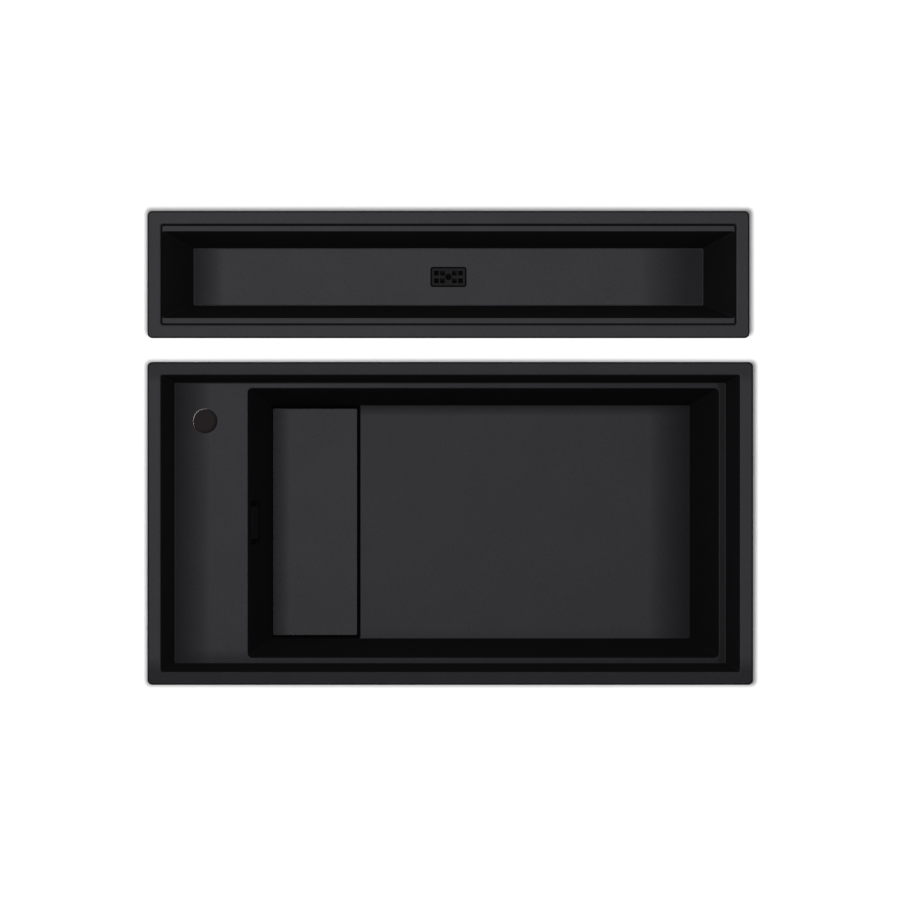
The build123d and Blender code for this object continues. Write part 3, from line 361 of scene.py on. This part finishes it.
def makeGranite(name, casting):
    values = {
        "Specular IOR Level": granite["specular"],
        "Base Color": granite["color"],
        "Roughness": granite["rough"],
    }
    made, tree, shader = newMaterial(name, values)
    coords = addNode(tree, "TexCoord")
    place = addNode(tree, "SeparateXYZ")
    slope = addNode(tree, "SeparateXYZ")
    tree.links.new(coords.outputs["Object"], place.inputs[0])
    tree.links.new(coords.outputs["Normal"], slope.inputs[0])
    shade = castingShade(tree, place, casting)

    # The outside faces away from the middle, or down
    fromMiddle = mathNode(tree, "SUBTRACT", place.outputs["Y"], casting["middle"])
    outward = mathNode(tree, "MULTIPLY", slope.outputs["Y"], fromMiddle)
    outward = mathNode(tree, "MULTIPLY_ADD", slope.outputs["X"], place.outputs["X"], outward)
    away = mathNode(tree, "GREATER_THAN", outward, granite["outwardLeast"])
    down = mathNode(tree, "LESS_THAN", slope.outputs["Z"], granite["downSlope"])
    outside = mathNode(tree, "MAXIMUM", away, down)
    rimTop = mathNode(tree, "GREATER_THAN", place.outputs["Z"], granite["rimEdgeLow"])
    lip = mathNode(tree, "GREATER_THAN", slope.outputs["Z"], granite["rimEdgeSlope"])
    rimRound = product(tree, away, rimTop, lip)
    outside = mathNode(tree, "SUBTRACT", outside, rimRound)

    # The rim's round edge is dark in the photograph, but not on the left: here it gets painted shade
    notLeft = mathNode(tree, "GREATER_THAN", slope.outputs["X"], granite["leftSlope"])
    rimEdge = product(tree, rimRound, notLeft)
    # Painted shade: below the recess level and inside the hollows the granite is nearly black
    recess = mathNode(tree, "LESS_THAN", place.outputs["Z"], casting["recess"])
    for hollow in casting["hollows"]:
        within = insideBox(tree, place, hollow)
        recess = mathNode(tree, "MAXIMUM", recess, within)
        outside = product(tree, outside, mathNode(tree, "SUBTRACT", 1.0, within))
    # Painted shade: the walls inside the basins, which stand upright, are darkened
    wall = rangeNode(tree, slope.outputs["Z"], *granite["wallSlopes"], 1.0, 0.0)

    # Rounded edges inside the basins get a painted highlight, a little lighter
    rising = rangeNode(tree, slope.outputs["Z"], *granite["edgeRise"])
    falling = rangeNode(tree, slope.outputs["Z"], *granite["edgeFall"], 1.0, 0.0)
    across = rangeNode(tree, mathNode(tree, "ABSOLUTE", slope.outputs["X"]), *granite["edgeTurn"])
    edge = product(tree, rising, falling, across, mathNode(tree, "SUBTRACT", 1.0, away))

    # Mineral grains: small lighter and darker specks, and a slow drift where hands have been
    driftLook = {"Scale": granite["driftSize"], "Detail": 2.0}
    drift = textureNode(tree, "Noise", coords.outputs["Object"], driftLook, "Fac")
    specks = {"Scale": granite["speckleSize"]}
    speckColor = textureNode(tree, "Voronoi", coords.outputs["Object"], specks, "Color")
    speck = addNode(tree, "SeparateColor")
    tree.links.new(speckColor, speck.inputs[0])
    tone = product(
        tree,
        rangeNode(tree, speck.outputs[0], 0.0, 1.0, *granite["speckle"]),
        # painted shade from the fades, and the casting's painted tone
        rangeNode(tree, shade, 0.0, 1.0, granite["paintedShadeColor"], casting["tone"]),
        rangeNode(tree, edge, 0.0, 1.0, 1.0, granite["edgeHighlight"]),
        rangeNode(tree, recess, 0.0, 1.0, 1.0, granite["recessShade"]),
        rangeNode(tree, wall, 0.0, 1.0, 1.0, granite["wallShade"]),
        rangeNode(tree, rimEdge, 0.0, 1.0, 1.0, granite["rimEdgeShade"]),
        # painted light and shade on the rim's top
        rangeNode(tree, place.outputs["Z"], *granite["rimBand"], 1.0, casting["rimPaintedLight"]),
        rangeNode(tree, drift, *noiseSpan, *granite["drift"]),
    )
    inside = mixColor(tree, 1.0, granite["color"], tone, "MULTIPLY")
    cast = mixColor(tree, 1.0, granite["outsideColor"], speck.outputs[0], "OVERLAY")
    tree.links.new(mixColor(tree, outside, inside, cast), shader.inputs["Base Color"])

    rough = rangeNode(tree, shade, 0.0, 1.0, granite["paintedShadeRough"], granite["rough"])
    rough = mathNode(tree, "MAXIMUM", rough, product(tree, recess, granite["recessRough"]))
    rough = mathNode(tree, "MAXIMUM", rough, product(tree, wall, granite["wallRough"]))
    rough = mathNode(tree, "MAXIMUM", rough, product(tree, rimEdge, granite["wallRough"]))
    rough = mixColor(tree, outside, rough, grey(granite["outsideRough"]))
    tree.links.new(rough, shader.inputs["Roughness"])

    # Fine grain everywhere, and the coarser skin of the mould on the outside
    grainLook = {"Scale": granite["grainSize"], "Detail": 3.0}
    skinLook = {"Scale": granite["skinSize"], "Detail": 4.0}
    grain = textureNode(tree, "Noise", coords.outputs["Object"], grainLook, "Fac")
    skin = textureNode(tree, "Noise", coords.outputs["Object"], skinLook, "Fac")
    height = mathNode(tree, "ADD", grain, product(tree, skin, outside, granite["skinDepth"]))
    addRelief(tree, shader, height, granite["relief"], granite["grainDepth"])
    return made


# Plain finishes: tone and roughness drift a little, and the skin has a fine relief.
# Painted shade darkens what looks up, or a pipe's bore: its number is how much of its colour a finish
# keeps there.
finishes = {
    "blackCoat": {
        "color": (0.0075, 0.0075, 0.0083, 1.0),
        "metal": 0.0,
        "specular": 0.07,
        "tone": (0.85, 1.20),
        "rough": (0.58, 0.68),
        "driftSize": 60.0,
        "grain": "Noise",
        "grainSize": 900.0,
        "depth": 0.00008,
    },
    "blackOxide": {
        "color": (0.0012, 0.0012, 0.0013, 1.0),
        "metal": 0.0,
        "specular": 0.05,
        "tone": (0.80, 1.30),
        "rough": (0.80, 0.92),
        "driftSize": 300.0,
        "grain": "Noise",
        "grainSize": 1500.0,
        "depth": 0.00005,
    },
    "zincPlate": {
        "color": (0.56, 0.57, 0.60, 1.0),
        "metal": 1.0,
        "specular": 0.5,
        "tone": (0.80, 1.08),
        "rough": (0.30, 0.46),
        "driftSize": 140.0,
        "grain": "Voronoi",
        "grainSize": 420.0,
        "depth": 0.00004,
    },
    "turnedBrass": {
        "color": (0.66, 0.46, 0.19, 1.0),
        "metal": 1.0,
        "specular": 0.5,
        "tone": (0.82, 1.06),
        "rough": (0.26, 0.40),
        "driftSize": 220.0,
        "grain": "Noise",
        "grainSize": 1400.0,
        "depth": 0.00004,
    },
    "blackPolypropylene": {
        "color": (0.0180, 0.0182, 0.0190, 1.0),
        "upShade": 0.05,
        "metal": 0.0,
        "specular": 0.16,
        "tone": (0.85, 1.18),
        "rough": (0.40, 0.52),
        "driftSize": 34.0,
        "grain": "Noise",
        "grainSize": 1100.0,
        "depth": 0.00006,
    },
    "greyPolypropylene": {
        "color": (0.30, 0.31, 0.32, 1.0),
        "upShade": 0.01,
        "boreShade": 0.01,
        "metal": 0.0,
        "specular": 0.30,
        "tone": (0.93, 1.05),
        "rough": (0.34, 0.44),
        "driftSize": 26.0,
        "grain": "Noise",
        "grainSize": 700.0,
        "depth": 0.00005,
    },
    "blackRubber": {
        "color": (0.0130, 0.0128, 0.0128, 1.0),
        "metal": 0.0,
        "specular": 0.25,
        "tone": (0.80, 1.45),
        "rough": (0.70, 0.86),
        "driftSize": 90.0,
        "grain": "Noise",
        "grainSize": 1600.0,
        "depth": 0.00010,
    },
    "foamTape": {
        "color": (0.050, 0.050, 0.053, 1.0),
        "metal": 0.0,
        "specular": 0.10,
        "tone": (0.70, 1.20),
        "rough": (0.90, 0.98),
        "driftSize": 320.0,
        "grain": "Voronoi",
        "grainSize": 1300.0,
        "depth": 0.00035,
    },
}


skinRelief = 0.6
upSlope = 0.5
boreFacing = -0.001


def facesUp(tree):
    slope = addNode(tree, "SeparateXYZ")
    tree.links.new(addNode(tree, "TexCoord").outputs["Normal"], slope.inputs[0])
    return mathNode(tree, "GREATER_THAN", slope.outputs["Z"], upSlope)


def facesAxis(tree, coords, axis):
    # 1 on a pipe's bore, which looks towards the pipe's upright axis
    place = addNode(tree, "VectorMath", {"operation": "SUBTRACT"}, {1: (axis.x, axis.y, 0.0)})
    level = addNode(tree, "VectorMath", {"operation": "MULTIPLY"}, {1: (1.0, 1.0, 0.0)})
    facing = addNode(tree, "VectorMath", {"operation": "DOT_PRODUCT"})
    tree.links.new(coords, place.inputs[0])
    tree.links.new(place.outputs["Vector"], level.inputs[0])
    tree.links.new(level.outputs["Vector"], facing.inputs[0])
    tree.links.new(addNode(tree, "TexCoord").outputs["Normal"], facing.inputs[1])
    return mathNode(tree, "LESS_THAN", facing.outputs["Value"], boreFacing)


def makeFinish(name, look, axis=None):
    values = {
        "Base Color": look["color"],
        "Metallic": look["metal"],
        "Specular IOR Level": look["specular"],
    }
    made, tree, shader = newMaterial(name, values)
    coords = objectCoords(tree)
    driftLook = {"Scale": look["driftSize"], "Detail": 3.0}
    drift = textureNode(tree, "Noise", coords, driftLook, "Fac")
    tone = rangeNode(tree, drift, *noiseSpan, *look["tone"])
    rough = rangeNode(tree, drift, *noiseSpan, *look["rough"])
    # painted shade on what looks up, and in a pipe's bore
    shadedPlaces = []
    if "upShade" in look:
        shadedPlaces.append((facesUp(tree), look["upShade"]))
    if axis:
        shadedPlaces.append((facesAxis(tree, coords, axis), look["boreShade"]))
    for where, share in shadedPlaces:
        tone = product(tree, tone, rangeNode(tree, where, 0.0, 1.0, 1.0, share))
        rough = mathNode(tree, "MAXIMUM", rough, where)
    tree.links.new(mixColor(tree, 1.0, look["color"], tone, "MULTIPLY"), shader.inputs["Base Color"])
    tree.links.new(rough, shader.inputs["Roughness"])
    output = "Fac" if look["grain"] == "Noise" else "Distance"
    grain = textureNode(tree, look["grain"], coords, {"Scale": look["grainSize"]}, output)
    addRelief(tree, shader, grain, skinRelief, look["depth"])
    return made


# Stainless steel, brushed in rings round the waste's axis
steel = {
    "color": (0.60, 0.59, 0.57, 1.0),
    "tone": (0.86, 1.05),
    "rough": (0.22, 0.40),
    "ringSize": 1500.0,
    "depth": 0.00003,
    "relief": 0.5,
}


def makeSteel(name, axisX):
    made, tree, shader = newMaterial(name, {"Base Color": steel["color"], "Metallic": 1.0})
    centred = addNode(tree, "Mapping", {}, {"Location": (-axisX, 0.0, 0.0)})
    tree.links.new(objectCoords(tree), centred.inputs["Vector"])
    place = addNode(tree, "SeparateXYZ")
    tree.links.new(centred.outputs["Vector"], place.inputs[0])
    square = mathNode(tree, "MULTIPLY", place.outputs["X"], place.outputs["X"])
    square = mathNode(tree, "MULTIPLY_ADD", place.outputs["Y"], place.outputs["Y"], square)
    ring = addNode(tree, "CombineXYZ")
    tree.links.new(mathNode(tree, "SQRT", square), ring.inputs["X"])
    tree.links.new(place.outputs["Z"], ring.inputs["Y"])
    ringLook = {"Scale": steel["ringSize"], "Detail": 4.0}
    rings = textureNode(tree, "Noise", ring.outputs["Vector"], ringLook, "Fac")
    tone = rangeNode(tree, rings, *noiseSpan, *steel["tone"])
    tree.links.new(mixColor(tree, 1.0, steel["color"], tone, "MULTIPLY"), shader.inputs["Base Color"])
    tree.links.new(rangeNode(tree, rings, *noiseSpan, *steel["rough"]), shader.inputs["Roughness"])
    addRelief(tree, shader, rings, steel["relief"], steel["depth"])
    return made


def dress(names, material):
    # the CAD nodes keep their meshes, and get the material in their slots
    for name in names:
        slots = nodes[name].material_slots
        if not slots:
            nodes[name].data.materials.append(material)
        for slot in slots:
            slot.link = "OBJECT"
            slot.material = material


def boxMiddle(node):
    low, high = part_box(node)
    return (low + high) / 2


for name, casting in castings.items():
    dress([name], makeGranite("granite_" + name, casting))
madeOf = {name: makeFinish(name, look) for name, look in finishes.items()}
drainAxis = boxMiddle("strainer_basket")
dress(
    ["waste_flange", "strainer_basket", "basket_stem", "waste_screw"],
    makeSteel("brushedSteel", drainAxis.x),
)
dress(["drain_grate", "overflow_cover"], madeOf["blackCoat"])
dress(["grate_screw"], madeOf["blackOxide"])
dress(["sink_clips", "trough_clips"], madeOf["zincPlate"])
dress(["sink_inserts", "trough_inserts"], madeOf["turnedBrass"])
dress(
    ["waste_body", "overflow_housing", "trough_trap", "sink_tail_nut", "trough_tail_nut"],
    madeOf["blackPolypropylene"],
)
for name in ("sink_tail_pipe", "trough_tail_pipe"):
    dress([name], makeFinish("grey_" + name, finishes["greyPolypropylene"], boxMiddle(name)))
print("finishes made")


# Helpers for pieces modelled by hand

sharpAngle = math.radians(40.0)
edgeSegments = 2
weldDistance = 0.00001
flatSlope = 0.9


def startEdit():
    bpy.ops.object.mode_set(mode="EDIT")
    bpy.ops.mesh.select_all(action="SELECT")


def pickFaces(piece, wanted):
    # selects the faces that wanted says, by their middle and normal
    bpy.ops.mesh.select_mode(type="FACE")
    bpy.ops.mesh.select_all(action="DESELECT")
    bpy.ops.object.mode_set(mode="OBJECT")
    for face in piece.data.polygons:
        face.select = wanted(face.center, face.normal)
    bpy.ops.object.mode_set(mode="EDIT")


def addPlane(name, size, place, turn=(0.0, 0.0, 0.0)):
    # a plane of two side lengths, with its place and turn in its mesh
    bpy.ops.object.select_all(action="DESELECT")
    bpy.ops.mesh.primitive_plane_add(size=1.0, location=place, rotation=turn)
    piece = bpy.context.object
    piece.name = name
    piece.scale = (size[0], size[1], 1.0)
    bpy.ops.object.transform_apply(location=True, rotation=True, scale=True)
    return piece


def roundEdges(piece, width):
    # an applied bevel on the sharp edges
    rounding = piece.modifiers.new("rounding", "BEVEL")
    rounding.width = width
    rounding.segments = edgeSegments
    rounding.limit_method = "ANGLE"
    rounding.angle_limit = sharpAngle
    bpy.ops.object.modifier_apply(modifier=rounding.name)


def finishPiece(piece, body, slotName, material, *replaced):
    bpy.ops.object.transform_apply(location=True, rotation=True, scale=True)
    bpy.ops.object.shade_smooth_by_angle(angle=sharpAngle)
    piece.data.materials.clear()
    piece.data.materials.append(material)
    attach(piece, body)
    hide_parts(*replaced)


# Washers and gaskets: a section with rounded corners, spun round an upright axis
rings = {
    "flangeGasket": {"node": "flange_gasket", "inner": 0.0450, "round": 0.0004, "body": "sink"},
    "bodyGasket": {"node": "body_gasket", "inner": 0.0450, "round": 0.0007, "body": "sink"},
    "sinkPipeWasher": {"node": "sink_tail_washer", "inner": 0.0200, "round": 0.0005, "body": "sink"},
    "troughPipeWasher": {"node": "trough_tail_washer", "inner": 0.0160, "round": 0.0005, "body": "sink"},
    "basketStopper": {"node": "basket_stopper", "inner": 0.0030, "round": 0.0009, "body": "basket"},
}
ringSpin = {"steps": 96, "cornerSegments": 4}


def spinRing(name, ring):
    low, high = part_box(ring["node"])
    middle = (low + high) / 2
    width = (high.x - low.x) / 2 - ring["inner"]
    place = (middle.x + ring["inner"] + width / 2, middle.y, middle.z)
    piece = addPlane(name, (width, high.z - low.z), place, (math.pi / 2, 0.0, 0.0))
    startEdit()
    bpy.ops.mesh.bevel(offset=ring["round"], segments=ringSpin["cornerSegments"], affect="VERTICES")
    bpy.ops.mesh.delete(type="ONLY_FACE")
    bpy.ops.mesh.select_all(action="SELECT")
    bpy.ops.mesh.spin(
        steps=ringSpin["steps"],
        angle=2 * math.pi,
        center=(middle.x, middle.y, 0.0),
        axis=(0.0, 0.0, 1.0),
    )
    bpy.ops.mesh.select_all(action="SELECT")
    bpy.ops.mesh.remove_doubles(threshold=weldDistance)
    bpy.ops.mesh.normals_make_consistent(inside=False)
    bpy.ops.object.mode_set(mode="OBJECT")
    finishPiece(piece, ring["body"], "rubber", madeOf["blackRubber"], ring["node"])


for name, ring in rings.items():
    spinRing(name, ring)
print("rings made")


# The cover stands on four rubber pads, each hollowed a little underneath
coverPad = {
    "radius": 0.006,
    "height": 0.003,
    "lip": 0.0016,
    "hollow": 0.0009,
    "round": 0.0004,
    "sides": 48,
}


def modelPad(pad):
    bpy.ops.object.select_all(action="DESELECT")
    bpy.ops.mesh.primitive_cylinder_add(vertices=pad["sides"], radius=pad["radius"], depth=pad["height"])
    piece = bpy.context.object
    startEdit()
    pickFaces(piece, lambda middle, normal: normal.z < -flatSlope)
    bpy.ops.mesh.inset(thickness=pad["lip"])
    bpy.ops.mesh.extrude_region_move(TRANSFORM_OT_translate={"value": (0.0, 0.0, pad["hollow"])})
    bpy.ops.object.mode_set(mode="OBJECT")
    roundEdges(piece, pad["round"])
    return piece


def copyTo(model, name, matrix):
    # a copy of the model with its own mesh, put where the matrix says and made active
    piece = bpy.data.objects.new(name, model.data.copy())
    bpy.context.scene.collection.objects.link(piece)
    bpy.ops.object.select_all(action="DESELECT")
    bpy.context.view_layer.objects.active = piece
    piece.select_set(True)
    piece.matrix_world = matrix
    return piece


padModel = modelPad(coverPad)
low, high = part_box("cover_feet")
padCentres = [
    (x, y, (low.z + high.z) / 2)
    for x in (low.x + coverPad["radius"], high.x - coverPad["radius"])
    for y in (low.y + coverPad["radius"], high.y - coverPad["radius"])
]
for number, centre in enumerate(padCentres, 1):
    pad = copyTo(padModel, "coverPad" + str(number), Matrix.Translation(centre))
    finishPiece(pad, "cover", "rubber", madeOf["blackRubber"], "cover_feet")
bpy.data.objects.remove(padModel)
print("cover pads made")


# Tape and gaskets of even width, laid as a frame round an opening
tapes = {
    "sinkTape": {
        "node": "sink_seal",
        "width": 0.008,
        "corner": 0.0090,
        "round": 0.0006,
        "of": "foam",
    },
    "troughTape": {
        "node": "trough_seal",
        "width": 0.008,
        "corner": 0.0090,
        "round": 0.0006,
        "of": "foam",
    },
    "trapGasket": {
        "node": "trough_gasket",
        "width": 0.003,
        "corner": 0.0045,
        "round": 0.0005,
        "of": "rubber",
    },
}

# The overflow's gasket lies behind the bowl's left wall: plane is a point on the wall's open face,
# normal looks out of it into the bowl, and depth is how far behind it the gasket starts
overflowRing = {
    "size": (0.032, 0.062),
    "width": 0.006,
    "corner": 0.0065,
    "squeeze": 0.88,
    "round": 0.0005,
    "height": 0.002,
    "depth": 0.01485,
    "plane": (-0.2804, 0.0, -0.1135),
    "normal": (0.98280, 0.0, 0.18465),
}
frameCornerSegments = 8
tapeFinish = {"foam": madeOf["foamTape"], "rubber": madeOf["blackRubber"]}


def openFrame(piece, normal, look, height, squeeze=None):
    # the flat plane becomes a frame of even width with round corners and its own thickness
    startEdit()
    bpy.ops.mesh.bevel(offset=look["corner"], segments=frameCornerSegments, affect="VERTICES")
    bpy.ops.mesh.select_all(action="SELECT")
    bpy.ops.mesh.inset(thickness=look["width"])
    if squeeze:
        bpy.ops.transform.resize(value=(1.0, squeeze, 1.0))
    bpy.ops.mesh.delete(type="FACE")
    bpy.ops.mesh.select_all(action="SELECT")
    thickness = tuple(component * height for component in normal)
    bpy.ops.mesh.extrude_region_move(TRANSFORM_OT_translate={"value": thickness})
    bpy.ops.mesh.select_all(action="SELECT")
    bpy.ops.mesh.normals_make_consistent(inside=False)
    bpy.ops.object.mode_set(mode="OBJECT")
    roundEdges(piece, look["round"])


for name, tape in tapes.items():
    low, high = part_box(tape["node"])
    middle = (low + high) / 2
    piece = addPlane(name, (high.x - low.x, high.y - low.y), (middle.x, middle.y, low.z))
    openFrame(piece, (0.0, 0.0, 1.0), tape, high.z - low.z)
    finishPiece(piece, "sink", tape["of"], tapeFinish[tape["of"]], tape["node"])

overflowNormal = Vector(overflowRing["normal"])
overflowTurn = math.atan2(overflowNormal.x, overflowNormal.z)
ringPlace = Vector(overflowRing["plane"]) - overflowNormal * overflowRing["depth"]
piece = addPlane("overflowGasket", overflowRing["size"], ringPlace, (0.0, overflowTurn, 0.0))
openFrame(piece, overflowNormal, overflowRing, overflowRing["height"], overflowRing["squeeze"])
finishPiece(piece, "sink", "rubber", madeOf["blackRubber"], "overflow_gasket")
print("tapes and gaskets made")


# Pan-head screws with a cross recess
clipScrew = {
    "head": 0.0045,
    "headHeight": 0.0030,
    "crown": 0.0012,
    "shank": 0.0020,
    "length": 0.0090,
    "slotLength": 0.0050,
    "slotWidth": 0.0010,
    "slotDepth": 0.0014,
}
housingScrew = {
    "head": 0.0038,
    "headHeight": 0.0022,
    "crown": 0.0010,
    "shank": 0.0015,
    "length": 0.0090,
    "slotLength": 0.0042,
    "slotWidth": 0.0008,
    "slotDepth": 0.0011,
}
screwShape = {"sides": 32, "crownSegments": 4, "tip": 0.1, "tipTaper": 0.55}


def modelScrew(screw):
    # it stands upright, its head's top at height 0
    bpy.ops.object.select_all(action="DESELECT")
    headMiddle = (0.0, 0.0, -screw["headHeight"] / 2)
    bpy.ops.mesh.primitive_cylinder_add(
        vertices=screwShape["sides"],
        radius=screw["head"],
        depth=screw["headHeight"],
        location=headMiddle,
    )
    piece = bpy.context.object
    bpy.ops.object.transform_apply(location=True, rotation=True, scale=True)
    startEdit()
    pickFaces(piece, lambda middle, normal: normal.z > flatSlope)
    bpy.ops.mesh.bevel(offset=screw["crown"], segments=screwShape["crownSegments"], affect="EDGES")
    pickFaces(piece, lambda middle, normal: normal.z < -flatSlope)
    bpy.ops.mesh.inset(thickness=screw["head"] - screw["shank"])
    for share in (1 - screwShape["tip"], screwShape["tip"]):
        down = (0.0, 0.0, -screw["length"] * share)
        bpy.ops.mesh.extrude_region_move(TRANSFORM_OT_translate={"value": down})
    bpy.ops.transform.resize(value=(screwShape["tipTaper"], screwShape["tipTaper"], 1.0))
    bpy.ops.object.mode_set(mode="OBJECT")
    for acrossX, acrossY in (("slotLength", "slotWidth"), ("slotWidth", "slotLength")):
        bpy.ops.mesh.primitive_cube_add(size=1.0, location=(0.0, 0.0, 0.0))
        cutter = bpy.context.object
        cutter.scale = (screw[acrossX], screw[acrossY], 2 * screw["slotDepth"])
        bpy.context.view_layer.objects.active = piece
        recess = piece.modifiers.new("recess", "BOOLEAN")
        recess.operation = "DIFFERENCE"
        recess.object = cutter
        bpy.ops.object.modifier_apply(modifier=recess.name)
        bpy.data.objects.remove(cutter)
    return piece


def pointed(place, direction):
    # a matrix that stands a piece at a place, its own Z along the direction
    return Matrix.Translation(place) @ Vector(direction).to_track_quat("Z", "Y").to_matrix().to_4x4()


def clipPlaces(node, along, withEnds):
    # where each clip screw's head ends, and which way it looks
    low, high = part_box(node)
    middle = (low + high) / 2
    places = []
    for x in along:
        places.append(((x, low.y, middle.z), (0.0, -1.0, 0.0)))
        places.append(((x, high.y, middle.z), (0.0, 1.0, 0.0)))
    if withEnds:
        places.append(((low.x, middle.y, middle.z), (-1.0, 0.0, 0.0)))
        places.append(((high.x, middle.y, middle.z), (1.0, 0.0, 0.0)))
    return places


screwRows = {
    "sinkClipScrew": {"node": "sink_clip_screws", "along": (-0.290, 0.020, 0.330), "ends": True},
    "troughClipScrew": {"node": "trough_clip_screws", "along": (-0.3025, -0.0025, 0.2975), "ends": False},
}
screwModel = modelScrew(clipScrew)
for name, row in screwRows.items():
    for number, (place, direction) in enumerate(clipPlaces(row["node"], row["along"], row["ends"]), 1):
        screw = copyTo(screwModel, name + str(number), pointed(place, direction))
        finishPiece(screw, "sink", "zinc_steel", madeOf["zincPlate"], row["node"])
bpy.data.objects.remove(screwModel)

overflowScrews = {"apart": 0.036, "headTop": 0.02005}
screwModel = modelScrew(housingScrew)
headPlace = Vector(overflowRing["plane"]) - overflowNormal * overflowScrews["headTop"]
for number, side in enumerate((-1.0, 1.0), 1):
    place = headPlace + Vector((0.0, side * overflowScrews["apart"], 0.0))
    screw = copyTo(screwModel, "overflowScrew" + str(number), pointed(place, -overflowNormal))
    finishPiece(screw, "sink", "zinc_steel", madeOf["zincPlate"], "overflow_screws")
bpy.data.objects.remove(screwModel)
print("screws made")


# The spigots' threads show for a few turns above each nut
threads = {
    "sinkSpigotThread": {"above": "sink_tail_nut", "radius": 0.0239},
    "troughSpigotThread": {"above": "trough_tail_nut", "radius": 0.0199},
}
threadCut = {"ridge": 0.0007, "pitch": 0.0022, "turns": 3, "clear": 0.0009, "steps": 64}
ridgeSides = 3


def wrapThread(name, thread, cut):
    nutLow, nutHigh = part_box(thread["above"])
    axis = (nutLow + nutHigh) / 2
    bpy.ops.object.select_all(action="DESELECT")
    bpy.ops.mesh.primitive_circle_add(
        vertices=ridgeSides,
        radius=cut["ridge"],
        location=(axis.x + thread["radius"], axis.y, nutHigh.z + cut["clear"]),
        rotation=(math.pi / 2, math.pi / 2, 0.0),
    )
    piece = bpy.context.object
    piece.name = name
    bpy.context.scene.cursor.location = (axis.x, axis.y, nutHigh.z)
    bpy.ops.object.transform_apply(location=False, rotation=True, scale=True)
    bpy.ops.object.origin_set(type="ORIGIN_CURSOR")
    winding = piece.modifiers.new("winding", "SCREW")
    winding.axis = "Z"
    winding.screw_offset = cut["pitch"]
    winding.iterations = cut["turns"]
    winding.steps = cut["steps"]
    winding.render_steps = cut["steps"]
    bpy.ops.object.modifier_apply(modifier=winding.name)
    startEdit()
    bpy.ops.mesh.remove_doubles(threshold=weldDistance)
    bpy.ops.mesh.fill_holes(sides=ridgeSides)
    bpy.ops.mesh.select_all(action="SELECT")
    bpy.ops.mesh.normals_make_consistent(inside=False)
    bpy.ops.object.mode_set(mode="OBJECT")
    finishPiece(piece, "sink", "black_plastic", madeOf["blackPolypropylene"])


for name, thread in threads.items():
    wrapThread(name, thread, threadCut)
print("threads made")
